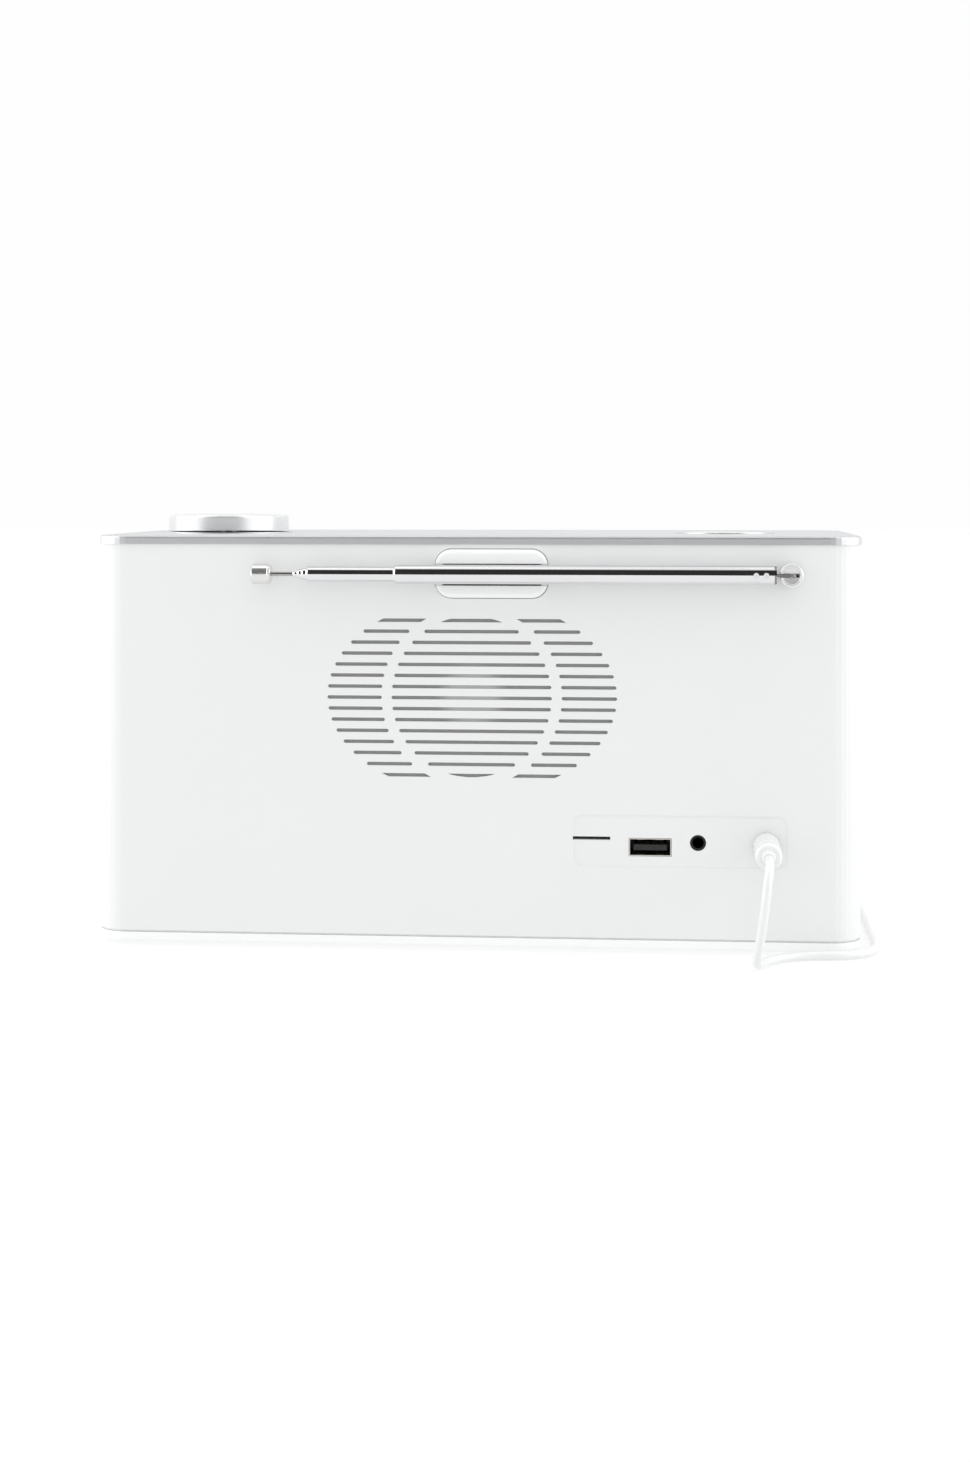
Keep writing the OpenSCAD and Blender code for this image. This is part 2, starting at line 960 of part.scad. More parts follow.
module antenna_circlip() {
    color("gray")
    translate([-pivot_x, y_back - 4.7, antenna_z])
        rotate([-90, 0, 0])
            difference() {
                cylinder(r = 3.8, h = 0.6);
                translate([0, 0, -1])
                    cylinder(r = 1.55, h = 3);
                translate([-0.7, -5, -1])
                    cube([1.4, 5, 3]);
            }
}

module antenna_hinge_pin() {
    color("silver")
    translate([-pivot_x, y_antenna, antenna_z - 3.2])
        cylinder(r = pin_r, h = 6.4);
}

module antenna_tongue() {
    color("silver")
    translate([-pivot_x, y_antenna, antenna_z])
        difference() {
            union() {
                translate([0, 0, -blade_t / 2]) {
                    cylinder(r = blade_r, h = blade_t);
                    translate([0, -blade_r, 0])
                        cube([5, 2 * blade_r, blade_t]);
                }
                round_x(tube_r - 0.2, 4.5, 5.2);
                round_x(TUBES[0][1] - 0.02, 5.1, 14.5);
            }
            translate([0, 0, -2])
                cylinder(r = pin_r + 0.05, h = 4);
        }
}

// One tube of the antenna, with a rolled mouth
module antenna_tube(i) {
    t = TUBES[i];
    color("silver")
    translate([t[2], y_antenna, antenna_z])
        rotate([0, 90, 0])
            rotate_extrude()
                polygon([
                    [t[1], 0], [t[0], 0], [t[0], t[3] - t[2] - 2 * mouth], [t[0] - mouth, t[3] - t[2]],
                    [t[1], t[3] - t[2]]
                ]);
}

module antenna_tube_1() {
    difference() {
        antenna_tube(0);
        for (x = [-90.8, -87.7])
            translate([x, y_antenna, antenna_z])
                round_y(0.85, tube_r - 0.35, tube_r + 1);
    }
}

module antenna_tube_2() {
    antenna_tube(1);
}

module antenna_tube_3() {
    antenna_tube(2);
}

module antenna_tube_4() {
    antenna_tube(3);
}

module antenna_tube_5() {
    antenna_tube(4);
}

module antenna_rod() {
    color("silver")
    translate([0, y_antenna, antenna_z])
        round_x(rod_r, tube_start + 14.3, tip_start + 2);
}

module antenna_tip() {
    color("silver")
    translate([tip_start, y_antenna, antenna_z])
        rotate([0, 90, 0])
            rotate_extrude()
                polygon([
                    [rod_r, 0], [tip_r - 0.6, 0], [tip_r - 0.2, 0.3], [tip_r - 0.2, 0.7], [tip_r, 0.9],
                    [tip_r, tip_len - 0.4], [tip_r - 0.4, tip_len], [0, tip_len], [0, 2], [rod_r, 2]
                ]);
}

module dc_plug() {
    color("white")
    translate([dc_x, 0, dc_z]) {
        difference() {
            round_y(2.75, y_in - 9.5, y_back + 0.6);
            round_y(1.1, y_in - 10, y_back + 0.2);
        }
        translate([0, y_back + 0.4, 0])
            rotate([-90, 0, 0])
                rotate_extrude()
                    polygon([
                        [0, 0], [plug_r - 0.3, 0], [plug_r, 0.4], [plug_r, grip_l - 1.2],
                        for (a = [0:30:90])
                            [plug_r - 1.2 + 1.2 * cos(a), grip_l - 1.2 + 1.2 * sin(a)],
                        [cord_d / 2 + 0.8, grip_l], [cord_d / 2 + 0.1, grip_l + relief_l],
                        [0, grip_l + relief_l]
                    ]);
    }
}

// Points along a smooth curve through a list of points, with s steps between neighbours
function along(p, s) = [
    for (i = [0:len(p) - 2], k = [0:s - 1])
        let (
            t = k / s,
            a = p[max(i - 1, 0)],
            b = p[i],
            c = p[i + 1],
            d = p[min(i + 2, len(p) - 1)]
        )
            0.5 * (2 * b + (c - a) * t + (2 * a - 5 * b + 4 * c - d) * t * t
                + (3 * b - a - 3 * c + d) * t * t * t),
    p[len(p) - 1]
];
function unit(v) = v / norm(v);
function direction(q, i) = unit(q[min(i + 1, len(q) - 1)] - q[max(i - 1, 0)]);
function ring(q, i, r, n) =
    let (
        t = direction(q, i),
        u = unit(cross(t, [1, 1, 1])),
        v = cross(t, u)
    )
        [for (k = [0:n - 1]) q[i] + r * (cos(360 * k / n) * u + sin(360 * k / n) * v)];

module swept(points, r, steps, n = 8) {
    q = along(points, steps);
    m = len(q);
    polyhedron(
        points = [for (i = [0:m - 1]) each ring(q, i, r, n)],
        faces = [
            [for (k = [0:n - 1]) k],
            for (i = [0:m - 2], k = [0:n - 1])
                [i * n + k, (i + 1) * n + k, (i + 1) * n + (k + 1) % n, i * n + (k + 1) % n],
            [for (k = [n - 1:-1:0]) (m - 1) * n + k]
        ]
    );
}

module power_cord() {
    color("white") {
        swept(LEAD_IN, cord_d / 2, 3);
        swept(LEAD_OUT, cord_d / 2, 3);
    }
}

// Section of the coil on one side of its axis, grown by g: four layers of turns and one turn on top
function coil_section(g) = [
    [coil_in + coil_chamfer, coil_low - g], [coil_out - coil_chamfer, coil_low - g],
    [coil_out + g, coil_low + coil_chamfer], [coil_out + g, coil_top - coil_chamfer],
    [coil_out - coil_chamfer, coil_top + g], [coil_step - g, coil_top + g],
    [coil_step - g, coil_high + g], [coil_in + coil_chamfer, coil_high + g],
    [coil_in - g, coil_high - coil_chamfer], [coil_in - g, coil_low + coil_chamfer]
];

module cord_coil() {
    color("white")
    translate([coil_x, coil_y, 0])
        rotate_extrude()
            polygon(coil_section(0));
}

module cord_tie() {
    color("black")
    translate([coil_x - tie_w / 2, coil_y, 0])
        rotate([90, 0, 90])
            linear_extrude(tie_w)
                difference() {
                    polygon(coil_section(tie_out));
                    polygon(coil_section(tie_gap));
                }
}

module power_adapter() {
    color("white")
    translate([adapter_x, adapter_y, 0]) {
        translate([adapter_l / 2, 0, 0])
            linear_extrude(adapter_h)
                polygon(round_rect(adapter_l, adapter_w, 5));
        translate([-strain_l, 0, 5])
            rotate([0, 90, 0])
                cylinder(r1 = cord_d / 2 + 0.5, r2 = 3.4, h = strain_l + 0.2);
    }
}

module adapter_pins() {
    color("silver")
    for (s = [-1, 1])
        translate([adapter_x + 44, adapter_y + s * 9.5, adapter_h])
            rotate_extrude()
                polygon([[0, 0], [2, 0], [2, 17.5], [0.8, 19], [0, 19]]);
}

cabinet_shell();
base_plate();
rubber_feet();
base_screws();
top_panel();
top_tray();
front_panel();
front_trim();
display_window();
display_module();
tuning_knob();
encoder_shaft();
encoder_plunger();
encoder_body();
button_bezel();
button_middle();
button_front();
button_rear();
button_left();
button_right();
button_board();
button_switches();
grille_felt();
woofer_basket();
woofer_cone();
woofer_magnet();
front_baskets();
front_magnets();
left_cone();
right_cone();
speaker_surrounds();
main_board();
tuner_can();
amp_heatsink();
port_board();
wiring();
usb_shell();
usb_tongue();
card_reader();
aux_jack();
dc_jack();
antenna_clip();
antenna_bush();
antenna_swivel();
antenna_circlip();
antenna_hinge_pin();
antenna_tongue();
antenna_tube_1();
antenna_tube_2();
antenna_tube_3();
antenna_tube_4();
antenna_tube_5();
antenna_rod();
antenna_tip();
dc_plug();
power_cord();
cord_coil();
cord_tie();
power_adapter();
adapter_pins();
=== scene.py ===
# %% [markdown]
# # A white tabletop radio, seen from the back
# The radio's structure comes in as a finished frame: every solid is already in its place, in metres,
# with the front towards -Y and the back towards +Y. This lesson gives it a camera, a power lead, small
# fittings that are too fine for the frame, and a finish for each material.

# %% Load the frame
import json
import math
import bpy
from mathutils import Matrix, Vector


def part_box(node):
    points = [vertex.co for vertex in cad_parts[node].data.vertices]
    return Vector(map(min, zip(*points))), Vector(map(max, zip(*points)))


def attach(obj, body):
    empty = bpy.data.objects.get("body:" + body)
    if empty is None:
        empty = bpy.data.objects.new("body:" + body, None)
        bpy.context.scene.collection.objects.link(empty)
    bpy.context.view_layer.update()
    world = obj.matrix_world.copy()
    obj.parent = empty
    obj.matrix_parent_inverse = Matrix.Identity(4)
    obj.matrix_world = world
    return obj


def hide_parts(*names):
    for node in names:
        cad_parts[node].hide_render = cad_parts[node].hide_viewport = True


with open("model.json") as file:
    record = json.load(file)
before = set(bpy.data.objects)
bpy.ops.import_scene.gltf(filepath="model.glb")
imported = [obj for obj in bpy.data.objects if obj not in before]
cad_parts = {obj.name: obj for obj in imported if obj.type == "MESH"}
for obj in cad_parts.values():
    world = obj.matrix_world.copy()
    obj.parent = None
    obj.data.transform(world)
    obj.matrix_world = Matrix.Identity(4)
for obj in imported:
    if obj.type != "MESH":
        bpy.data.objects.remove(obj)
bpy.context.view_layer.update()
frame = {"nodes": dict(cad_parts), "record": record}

MM = 0.001
nodes = frame["nodes"]

# %% [markdown]
# ## Camera
# A long lens, level with the radio's top edge and turned a few degrees, is what a catalogue picture is
# taken with. Tilting the camera down would centre the radio too, but its upright edges would then lean,
# so the camera stays level and the lens is shifted instead.

# %% Camera
CAMERA_X = -0.0667
CAMERA_HEIGHT = 0.1436
CAMERA_AWAY = 0.718      # from the cabinet's back face
CAMERA_TURN = 185.01     # degrees; 180 would look straight at the back
SENSOR_WIDTH = 36        # millimetres, as the focal length is
FOCAL_LENGTH = 85.66
LENS_SHIFT = -0.2471     # as a part of the sensor's width

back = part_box("cabinet_shell")[1][1]
camera = bpy.data.objects.new("camera", bpy.data.cameras.new("camera"))
bpy.context.scene.collection.objects.link(camera)
camera.location = (CAMERA_X, back + CAMERA_AWAY, CAMERA_HEIGHT)
camera.rotation_euler = (math.radians(90), 0, math.radians(CAMERA_TURN))
camera.data.sensor_fit = "HORIZONTAL"
camera.data.sensor_width = SENSOR_WIDTH
camera.data.lens = FOCAL_LENGTH
camera.data.shift_y = LENS_SHIFT
camera.data.clip_start = 0.01
bpy.context.scene.camera = camera
print("camera at", [round(c, 4) for c in camera.location])

# %% [markdown]
# ## Power lead
# The lead of the wall adapter is 1.5 m of 2.8 mm cord. It leaves the plug, drops to the table, follows
# the cabinet round its corner and is wound up in front of the radio. Its free stretches are lists of
# points that a smooth curve is drawn through. The coil is worked out turn by turn: three turns side by
# side in each of four layers, and one more turn on top. A curve with a round bevel would draw the same
# cord, but the box of a mesh is exact.

# %% Lead: the free stretches
LEAD_IN = [
    (-91, 79.5, 34), (-91, 82.5, 33.5), (-90.8, 85.6, 31.4), (-90.3, 87.4, 28), (-89.6, 88, 22),
    (-88.6, 87, 14), (-87.6, 83.5, 6.6), (-87.8, 77, 2.2), (-91, 68.5, 1.5), (-97, 62.5, 1.5),
    (-105, 59.5, 1.5), (-114, 58, 1.5), (-121, 54, 1.5), (-124.5, 47, 1.5), (-125.5, 37, 1.5),
    (-125.5, 15, 1.5), (-125.5, -10, 1.5), (-125.5, -35, 1.5), (-124, -55, 1.5), (-118.5, -72, 1.5),
    (-113, -85, 1.8), (-110.9, -98, 2.2),
]
LEAD_OUT = [(-92, -116.9, 13.8), (-84, -116.2, 12.2), (-76, -113.6, 8.6), (-69, -110, 5.7), (-62, -108, 5)]
LEAD_RADIUS = 1.4
STEPS = 6                # points drawn for each one given


def smooth(points):
    """Points along a curve that passes through all the given ones."""
    points = [Vector(p) for p in points]
    found = []
    for i in range(len(points) - 1):
        a, b = points[max(i - 1, 0)], points[i]
        c, d = points[i + 1], points[min(i + 2, len(points) - 1)]
        for k in range(STEPS):
            t = k / STEPS
            found.append(0.5 * (2 * b + (c - a) * t + (2 * a - 5 * b + 4 * c - d) * t ** 2
                                + (3 * b - a - 3 * c + d) * t ** 3))
    return found + [points[-1]]


print("points given:", len(LEAD_IN), "before the coil,", len(LEAD_OUT), "after it")


# %% Lead: the coil
COIL_CENTRE = (-92, -98)
COIL_TURNS = 12.25
PER_TURN = 24
COLUMNS = [2, 1, 0, 0, 1, 2, 2, 1, 0, 0, 1, 2, 2]    # across the coil, 0 being the innermost turn
PER_LAYER = 3
INNER_TURN = 13.1
LOWEST_TURN = 2.2
PITCH = 2.9


def coil_points():
    """The turns of the coil, from the outer bottom one to the outer top one."""
    steps = round(COIL_TURNS * PER_TURN)
    for i in range(1, steps):
        place = i / steps * (len(COLUMNS) - 1)
        low = min(int(place), len(COLUMNS) - 2)
        part = place - low
        column = COLUMNS[low] * (1 - part) + COLUMNS[low + 1] * part
        layer = (low // PER_LAYER) * (1 - part) + ((low + 1) // PER_LAYER) * part
        angle = math.pi + 2 * math.pi * i / PER_TURN
        radius = INNER_TURN + PITCH * column
        yield Vector((COIL_CENTRE[0] + radius * math.cos(angle),
                      COIL_CENTRE[1] + radius * math.sin(angle), LOWEST_TURN + PITCH * layer))


print("turns:", COIL_TURNS, "in columns", sorted(set(COLUMNS)))


# %% Lead: a round cord along points
def tube_along(name, points, radius, sides=14):
    """A round cord: rings of corners along the points, each turned as little as possible from the last."""
    rings = []
    outward = Vector((1, 0, 0))
    for i, point in enumerate(points):
        ahead = (points[min(i + 1, len(points) - 1)] - points[max(i - 1, 0)]).normalized()
        outward = (outward - ahead * outward.dot(ahead)).normalized()
        across = ahead.cross(outward)
        for k in range(sides):
            angle = 2 * math.pi * k / sides
            rings.append((point + (outward * math.cos(angle) + across * math.sin(angle)) * radius) * MM)
    last = len(points) - 1
    faces = [tuple(range(sides))[::-1], tuple(last * sides + k for k in range(sides))]
    for i in range(last):
        for k in range(sides):
            step = (k + 1) % sides
            faces.append((i * sides + k, i * sides + step, (i + 1) * sides + step, (i + 1) * sides + k))
    mesh = bpy.data.meshes.new(name)
    mesh.from_pydata(rings, [], faces)
    for face in mesh.polygons:
        face.use_smooth = len(face.vertices) == 4
    piece = bpy.data.objects.new(name, mesh)
    bpy.context.scene.collection.objects.link(piece)
    return piece


# %% Lead: the whole of it
route = smooth(LEAD_IN)[:-1] + list(coil_points()) + smooth(LEAD_OUT)
lead_length = sum((b - a).length for a, b in zip(route, route[1:])) * MM
lead = tube_along("power_lead", route, LEAD_RADIUS)
print("lead length:", round(lead_length, 3), "m")

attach(lead, "radio")
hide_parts("power_cord", "cord_coil")
[tuple(p * MM) for p in route]
print("declared:", lead.name, "on", len(route), "points")

# %% [markdown]
# ## Writing finishes as formulas
# A finish is a recipe over the surface: grain makes the colour, the roughness and the tiny relief vary
# together. The nodes could be added and linked one by one, but arithmetic is easier to read, so a small
# class turns each operation into a Math node, and one method adds every other kind of node.


# %% Value: a number that varies over the surface
class Value:
    def __init__(self, finish, socket):
        self.finish = finish
        self.socket = socket

    def math(self, operation, first, second):
        return self.finish.add("ShaderNodeMath", {"operation": operation}, {0: first, 1: second})

    def __add__(self, other):
        return self.math("ADD", self, other)

    def __sub__(self, other):
        return self.math("SUBTRACT", self, other)

    def __mul__(self, other):
        return self.math("MULTIPLY", self, other)

    def __truediv__(self, other):
        return self.math("DIVIDE", self, other)

    def __rsub__(self, other):
        return self.math("SUBTRACT", other, self)

    def __pow__(self, other):
        return self.math("POWER", self, other)

    __radd__ = __add__
    __rmul__ = __mul__


# %% Recipe: a node tree under construction, and Finish, which is a recipe for a material
class Recipe:
    def __init__(self, tree):
        self.tree = tree

    def add(self, kind, settings=None, inputs=None, output=0):
        """Adds a node: first its settings, then the values or links of its sockets."""
        node = self.tree.nodes.new(kind)
        for key, value in (settings or {}).items():
            setattr(node, key, value)
        for key, value in (inputs or {}).items():
            if isinstance(value, Value):
                self.tree.links.new(value.socket, node.inputs[key])
            else:
                node.inputs[key].default_value = value
        return Value(self, node.outputs[output])

    def step(self, value, low, high):
        """0 below low and 1 above high, with a soft change between them."""
        return self.add("ShaderNodeMapRange", {"interpolation_type": "SMOOTHSTEP"},
                        {"Value": value, "From Min": low, "From Max": high})


class Finish(Recipe):
    def __init__(self, name, **shader):
        self.material = bpy.data.materials.new(name)
        self.material.use_nodes = True
        super().__init__(self.material.node_tree)
        self.shader = self.tree.nodes["Principled BSDF"]
        for socket, value in shader.items():
            self.shader.inputs[socket.replace("_", " ")].default_value = value

    def place(self, stretch=(1, 1, 1)):
        """The point on the piece in metres, squeezed along the axes."""
        where = self.add("ShaderNodeTexCoord", output="Object")
        return self.add("ShaderNodeVectorMath", {"operation": "MULTIPLY"}, {0: where, 1: stretch})

    def noise(self, size, detail=2, stretch=(1, 1, 1), rough=0.5):
        """Soft blotches about size metres across, as a number round one half."""
        return self.add("ShaderNodeTexNoise", {}, {"Vector": self.place(stretch), "Scale": 1 / size,
                                                   "Detail": detail, "Roughness": rough}, "Fac")

    def mix(self, amount, first, second):
        """One colour turning into another."""
        return self.add("ShaderNodeMix", {"data_type": "RGBA"},
                        {0: amount, 6: (*first, 1), 7: (*second, 1)}, 2)

    def feed(self, **values):
        for socket, value in values.items():
            self.tree.links.new(value.socket, self.shader.inputs[socket.replace("_", " ")])

    def relief(self, height, depth, strength=0.4):
        """Tiny relief; depth is in metres."""
        bump = self.add("ShaderNodeBump", {}, {"Strength": strength, "Distance": depth, "Height": height})
        self.feed(Normal=bump)
        return self.material


# %% [markdown]
# ## Moulded plastic
# Injection-moulded ABS has a fine spark-eroded grain from the mould, slight sink marks and a waxy sheen.
# The grain is under half a millimetre, so it shows as softness rather than as dots. It could be modelled
# in the mesh, but that takes millions of faces where a bump takes none. The same recipe, with other
# colours and grains, also serves the rubber, the paper and the painted pieces.


# %% Plastic recipe
def plastic(name, colour, rough, grain=0.35, depth=1.2e-5, tint=0.03, coat=0.0):
    """Grained plastic; grain is in millimetres, and tint is how much darker its dark spots are."""
    finish = Finish(name, Roughness=rough, Specular_IOR_Level=0.45, Coat_Weight=coat, Coat_Roughness=0.15)
    grains = finish.noise(grain * MM, 3)
    clouds = finish.noise(0.03, 2)
    darker = tuple(c * (1 - tint) for c in colour)
    finish.feed(Base_Color=finish.mix(clouds * 0.7 + grains * 0.3, darker, colour),
                Roughness=rough - 0.06 + grains * 0.08 + clouds * 0.05)
    return finish.relief(grains * 0.8 + clouds * 0.2, depth)


# %% [markdown]
# ## Metals
# Three ways of finishing show on this radio. The top panel is brushed along its length. The knob and the
# antenna's tip are turned, so their fine grooves run round the axis. The antenna is drawn tube with
# bright plating, smooth but for the faintest lengthwise lines. One noise makes all three: stretched along
# an axis it gives brushed lines, and read by the distance from an axis it gives grooves.


# %% Metal recipes
def brushed(name, colour, rough, stretch=(0.02, 1, 1)):
    """Metal with fine straight lines along the axis that stretch makes small."""
    finish = Finish(name, Metallic=1.0, Roughness=rough)
    lines = finish.noise(0.18 * MM, 4, stretch, 0.6)
    clouds = finish.noise(0.02, 2)
    darker = tuple(c * 0.93 for c in colour)
    finish.feed(Base_Color=finish.mix(lines * 0.6 + clouds * 0.4, darker, colour),
                Roughness=rough - 0.07 + lines * 0.14)
    return finish.relief(lines, 0.8e-5, 0.3)


def turned(name, colour, centre, axis=2, rough=0.3, metal=1.0):
    """Metal spun in a lathe about an axis through centre: rings that vary with the radius."""
    finish = Finish(name, Metallic=metal, Roughness=rough)
    where = finish.add("ShaderNodeTexCoord", output="Object")
    keep = [0.0 if i == axis else 1.0 for i in range(3)]
    away = finish.add("ShaderNodeVectorMath", {"operation": "SUBTRACT"}, {0: where, 1: centre})
    flat = finish.add("ShaderNodeVectorMath", {"operation": "MULTIPLY"}, {0: away, 1: keep})
    radius = finish.add("ShaderNodeVectorMath", {"operation": "LENGTH"}, {0: flat}, "Value")
    rings = finish.add("ShaderNodeTexNoise", {"noise_dimensions": "1D"},
                       {"W": radius, "Scale": 1 / (0.16 * MM), "Detail": 3.0}, "Fac")
    darker = tuple(c * 0.92 for c in colour)
    finish.feed(Base_Color=finish.mix(rings, darker, colour), Roughness=rough - 0.06 + rings * 0.12)
    return finish.relief(rings, 0.7e-5, 0.3)


def chrome(name, colour=(0.80, 0.80, 0.81), rough=0.07):
    """Bright plating on drawn tube, which lies along X."""
    finish = Finish(name, Metallic=1.0, Roughness=rough)
    lines = finish.noise(0.2 * MM, 2, (0.015, 1, 1))
    haze = finish.noise(6 * MM, 3)
    finish.feed(Base_Color=finish.mix(haze, tuple(c * 0.96 for c in colour), colour),
                Roughness=rough - 0.02 + lines * 0.03 + haze * 0.03)
    return finish.relief(lines, 0.15e-5, 0.2)


# %% [markdown]
# ## Which finish goes where
# The record names a material slot for each node. Each piece could be dressed by name, but pieces moulded
# or plated together share a slot, so one table turns slots into finishes.

# %% Finishes by slot
knob_centre = [(a + b) / 2 for a, b in zip(*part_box("tuning_knob"))]
WHITE = (0.815, 0.825, 0.825)
finishes = {
    "cabinet_white": plastic("cabinet_white", WHITE, 0.4),
    "base_white": plastic("base_white", (0.93, 0.94, 0.94), 0.45),
    "panel_silver": brushed("panel_silver", (0.70, 0.71, 0.72), 0.5),
    "knob_silver": turned("knob_silver", (0.80, 0.805, 0.81), knob_centre, rough=0.26, metal=0.42),
    "front_grey": plastic("front_grey", (0.80, 0.81, 0.81), 0.45),
    "trim_silver": brushed("trim_silver", (0.70, 0.71, 0.72), 0.28),
    "key_white": plastic("key_white", (0.83, 0.84, 0.84), 0.3, coat=0.2),
    # the clip's white is lighter than the cabinet's: a painted highlight for the light its raised, rounded
    # lobes catch
    "clip_white": plastic("clip_white", (0.92, 0.93, 0.93), 0.36),
    "foot_rubber": plastic("foot_rubber", (0.035, 0.035, 0.035), 0.8, 0.5, 3e-5, 0.3),
    "screw_steel": turned("screw_steel", (0.55, 0.55, 0.56), (0, 0, 0), rough=0.35),
    "black_plastic": plastic("black_plastic", (0.012, 0.012, 0.012), 0.5, tint=0.3),
    "window_dark": plastic("window_dark", (0.012, 0.012, 0.015), 0.08, 1.5, 2e-6, 0.3, 0.6),
    "lcd_module": plastic("lcd_module", (0.08, 0.10, 0.08), 0.5, tint=0.2),
    "board_green": plastic("board_green", (0.02, 0.12, 0.05), 0.35, 0.8, 2e-5, 0.4, 0.3),
    "tin_can": brushed("tin_can", (0.62, 0.62, 0.63), 0.3, (0.1, 1, 1)),
    "heatsink": brushed("heatsink", (0.45, 0.46, 0.47), 0.4, (1, 1, 0.03)),
    "chrome_tube": chrome("chrome_tube"),
    "brass_bush": turned("brass_bush", (0.72, 0.52, 0.22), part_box("antenna_bush")[0], 1),
    "basket_steel": plastic("basket_steel", (0.03, 0.03, 0.032), 0.4, 0.6, 2e-5, 0.3),
    "surround_rubber": plastic("surround_rubber", (0.025, 0.025, 0.025), 0.7, 0.4, 2e-5, 0.3),
    "cone_paper": plastic("cone_paper", (0.10, 0.10, 0.10), 0.85, 0.9, 8e-5, 0.5),
    "woofer_paper": plastic("woofer_paper", (0.55, 0.55, 0.56), 0.5, 0.9, 4e-5, 0.2),
    "magnet_grey": plastic("magnet_grey", (0.10, 0.10, 0.11), 0.45, 0.7, 3e-5, 0.3),
    "usb_metal": brushed("usb_metal", (0.66, 0.64, 0.60), 0.22, (1, 0.05, 1)),
    "usb_black": plastic("usb_black", (0.02, 0.02, 0.022), 0.4, tint=0.3),
    "wire_red": plastic("wire_red", (0.35, 0.02, 0.02), 0.4, tint=0.2),
    "lead_white": plastic("lead_white", (0.82, 0.83, 0.83), 0.26, 0.6, 0.6e-5, 0.03, 0.2),
    "adapter_white": plastic("adapter_white", (0.72, 0.73, 0.73), 0.45),
    "pin_nickel": brushed("pin_nickel", (0.66, 0.64, 0.60), 0.2, (1, 1, 0.05)),
    "tie_black": plastic("tie_black", (0.02, 0.02, 0.02), 0.5, tint=0.3),
}
print("finishes:", len(finishes))

# %% [markdown]
# ## Finishes of single pieces
# Some pieces share a slot and still look different. The antenna's rod, tongue, pivot and tip are plated
# like its tubes, but duller or turned, and the dial's middle key is spun metal among white keys. Behind
# the grille hangs thin felt. Its slots look paler in the middle because a painted highlight brightens the
# felt's colour there, standing in for the speaker's pale cap and its sheen seen through the felt. Two
# layers of see-through cloth would show that too, but a colour that changes with the distance from the
# middle does it in one.


# %% Felt
def middle(node):
    """The middle of a node's box."""
    return [(a + b) / 2 for a, b in zip(*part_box(node))]


def felt(name, colour, glint_radius):
    """White felt behind the grille, with a painted highlight: brighter in the middle, where the speaker's
    cap would shine through it.
    """
    finish = Finish(name, Roughness=0.95, Specular_IOR_Level=0.1)
    fibres = finish.noise(0.5 * MM, 4, rough=0.7)
    where = finish.add("ShaderNodeTexCoord", output="Object")
    away = finish.add("ShaderNodeVectorMath", {"operation": "DISTANCE"},
                      {0: where, 1: middle("grille_felt")}, "Value")
    # painted highlight: the felt keeps its full colour within half the glint radius and fades to half as
    # bright beyond it
    beyond_glint_mask = finish.step(away, glint_radius * 0.5, glint_radius)
    felt_beyond_glint = tuple(c * 0.5 for c in colour)
    finish.feed(Base_Color=finish.mix(beyond_glint_mask * 0.7 + fibres * 0.3, colour, felt_beyond_glint))
    return finish.relief(fibres, 2e-4, 0.6)


# radius of the painted highlight on the felt
GLINT_RADIUS = 0.012
finishes["felt_white"] = felt("felt_white", (0.62, 0.62, 0.62), GLINT_RADIUS)
print("felt round", [round(c, 4) for c in middle("grille_felt")])

# %% Pieces with a finish of their own
own_finish = {
    "antenna_tip": turned("antenna_tip", (0.80, 0.80, 0.79), middle("antenna_tip"), 0, 0.22, metal=0.85),
    "antenna_rod": chrome("antenna_rod", (0.42, 0.41, 0.40), 0.16),
    "antenna_swivel": turned("antenna_swivel", (0.86, 0.86, 0.86), middle("antenna_swivel"), 1, metal=0.6),
    "antenna_tongue": chrome("antenna_tongue", (0.30, 0.29, 0.28), 0.2),
    "button_middle": turned("button_middle", (0.76, 0.765, 0.77), middle("button_middle")),
}
print("own finishes:", ", ".join(own_finish))

# %% Dress every node
slot_of = {part["node"]: part["material_slot"] for part in frame["record"]["subparts"]}
for name, piece in nodes.items():
    piece.data.materials.clear()
    piece.data.materials.append(own_finish.get(name) or finishes[slot_of[name]])
lead.data.materials.append(finishes["lead_white"])
print("dressed:", len(nodes) + 1)

# %% [markdown]
# ## Springs and contacts in the USB socket
# A USB-A socket holds its plug with leaf springs that are cut out of the shell and bent inwards, and the
# tongue carries four gold contacts. Each could be a solid of its own in the frame, but they are only a
# tenth of a millimetre thick, so here each is one ribbon along a few points, given its thickness by a
# Solidify modifier.


# %% Ribbons
def ribbon(name, points, across, thickness, finish):
    """A strip of sheet metal along points; across is its width as a vector."""
    half = Vector(across) / 2
    corners = [p + side * half for p in map(Vector, points) for side in (-1, 1)]
    faces = [(2 * i, 2 * i + 1, 2 * i + 3, 2 * i + 2) for i in range(len(points) - 1)]
    mesh = bpy.data.meshes.new(name)
    mesh.from_pydata([c * MM for c in corners], [], faces)
    mesh.materials.append(finish)
    piece = bpy.data.objects.new(name, mesh)
    bpy.context.scene.collection.objects.link(piece)
    solid = piece.modifiers.new("sheet", "SOLIDIFY")
    solid.thickness = thickness * MM
    solid.offset = 0
    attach(piece, "radio")


# %% Springs and contacts
SHELL_WALL = 0.3
SPRING_X = 2.9           # from the socket's middle
SPRING_WIDTH = 2.2
SPRING_RISE = 0.62       # how far a spring bends in
SPRING_STEP = 0.8        # from point to point along it
SPRING_ARCH = 0.55       # radians of the arch from point to point
TONGUE_TOP = 3.475       # above the shell's underside
CONTACTS_X = (-3.5, -1, 1, 3.5)
CONTACT_STEP = 1.2

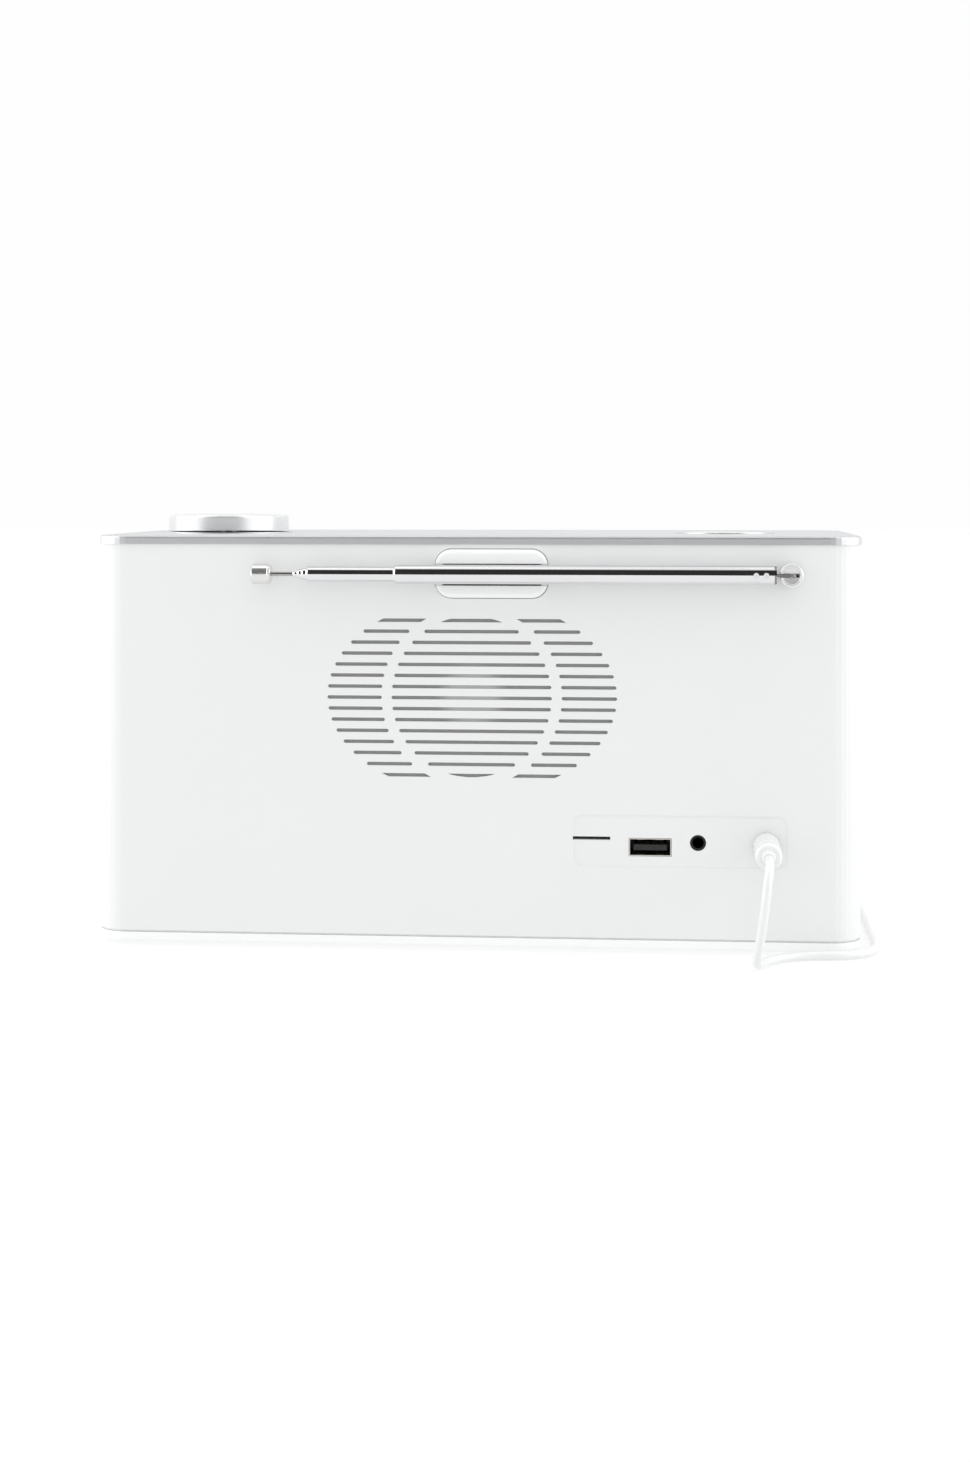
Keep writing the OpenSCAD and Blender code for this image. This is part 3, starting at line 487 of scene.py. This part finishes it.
usb_low, usb_high = [[c / MM for c in corner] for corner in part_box("usb_shell")]
usb_x = (usb_low[0] + usb_high[0]) / 2
mouth = usb_high[1]
tongue_top = usb_low[2] + TONGUE_TOP
for side in (-1, 1):
    for wall, inward in ((usb_high[2] - SHELL_WALL, -1), (usb_low[2] + SHELL_WALL, 1)):
        points = [(usb_x + side * SPRING_X, mouth - 0.4 - SPRING_STEP * k,
                   wall + inward * (0.08 + SPRING_RISE * math.sin(SPRING_ARCH * k))) for k in range(7)]
        name = f"usb_spring_{'top' if inward < 0 else 'bottom'}_{'left' if side > 0 else 'right'}"
        ribbon(name, points, (SPRING_WIDTH, 0, 0), 0.15, finishes["usb_metal"])
gold = brushed("contact_gold", (0.80, 0.60, 0.25), 0.25, (1, 0.05, 1))
for number, x in enumerate(CONTACTS_X, 1):
    points = [(usb_x + x, mouth - 1.0 - CONTACT_STEP * k, tongue_top + (0.03 if k else -0.1))
              for k in range(6)]
    ribbon(f"usb_contact_{number}", points, (1.0, 0, 0), 0.1, gold)
print("usb fittings:", 4 + len(CONTACTS_X))

# %% [markdown]
# ## Floor and light
# White on white needs very even light. A bright dome lights everything and is the background, and two
# soft boxes at the sides brighten the rounded corners. A third fills the top from above, but mirrors do
# not see it, so it leaves no glare on the panel. A white floor lit by lamps would turn grey round the
# radio, so this one also glows a little, as a light table does. Chrome in an all-white room would vanish.
# What polished metal mirrors behind the camera is therefore dark, as if that wall of the studio were
# black, and a band beside it is brighter than the rest.


# %% Helpers for lights and the floor
def area_light(name, place, target, size, power):
    """A soft rectangular light that looks at a point."""
    data = bpy.data.lights.new(name, "AREA")
    data.shape = "RECTANGLE"
    data.size, data.size_y = size
    data.energy = power
    light = bpy.data.objects.new(name, data)
    bpy.context.scene.collection.objects.link(light)
    light.location = place
    light.rotation_euler = (Vector(target) - Vector(place)).to_track_quat("-Z", "Y").to_euler()
    return light


def glowing_floor(name, half, strength):
    """A square floor that gives off some light of its own."""
    mesh = bpy.data.meshes.new(name)
    corners = [(-half, -half, 0), (half, -half, 0), (half, half, 0), (-half, half, 0)]
    mesh.from_pydata(corners, [], [(0, 1, 2, 3)])
    finish = plastic("floor_white", (0.2, 0.2, 0.2), 0.9, 2, 1e-6, 0.02)
    shader = finish.node_tree.nodes["Principled BSDF"]
    shader.inputs["Emission Color"].default_value = (1, 1, 1, 1)
    shader.inputs["Emission Strength"].default_value = strength
    mesh.materials.append(finish)
    piece = bpy.data.objects.new(name, mesh)
    bpy.context.scene.collection.objects.link(piece)


# %% Floor and lamps
SIDE_SIZE = (0.9, 1.1)
SIDE_TARGET = (0, 0.05, 0.07)

glowing_floor("floor", 8, 0.75)
above = area_light("top_box", (0, 0.1, 1.6), (0, 0, 0.06), (1.6, 1.2), 5)
above.visible_glossy = False
area_light("left_box", (1.4, 0.12, 0.5), SIDE_TARGET, SIDE_SIZE, 6.5)
area_light("right_box", (-1.4, 0.12, 0.5), SIDE_TARGET, SIDE_SIZE, 5.5)
bpy.context.scene.view_settings.view_transform = "Standard"
print("lamps:", len(bpy.data.lights))

# %% Dome
WALL_EDGE = (0.74, 0.87)       # the dark wall's soft edge, where 1 is straight behind the camera
WALL_FOOT = (-0.08, 0.0)
WALL_TOP = (0.86, 0.97)
BAND_START = (0.12, 0.2)       # the bright band's two soft edges
BAND_END = (0.66, 0.74)
WALL_DARKER = 0.97
BAND_BRIGHTER = 1.3

world = bpy.data.worlds.new("studio")
bpy.context.scene.world = world
world.use_nodes = True
dome = Recipe(world.node_tree)
direction = dome.add("ShaderNodeTexCoord", output="Generated")
split = dome.add("ShaderNodeSeparateXYZ", inputs={0: direction}).socket.node
along_x, along_y, upward = (Value(dome, socket) for socket in split.outputs)
level = (along_x * along_x + along_y * along_y) ** 0.5
nearness = along_y / level
wall = dome.step(nearness, *WALL_EDGE) * dome.step(upward, *WALL_FOOT) * (1 - dome.step(upward, *WALL_TOP))
beside = dome.step(nearness, *BAND_START) * (1 - dome.step(nearness, *BAND_END))
mirrored = dome.add("ShaderNodeLightPath", output="Is Glossy Ray")
brightness = 1 + mirrored * (beside * BAND_BRIGHTER - wall * WALL_DARKER)
background = world.node_tree.nodes["Background"]
background.inputs["Color"].default_value = (0.99, 0.99, 0.99, 1)
world.node_tree.links.new(brightness.socket, background.inputs["Strength"])
print("dome:", len(world.node_tree.nodes), "nodes")
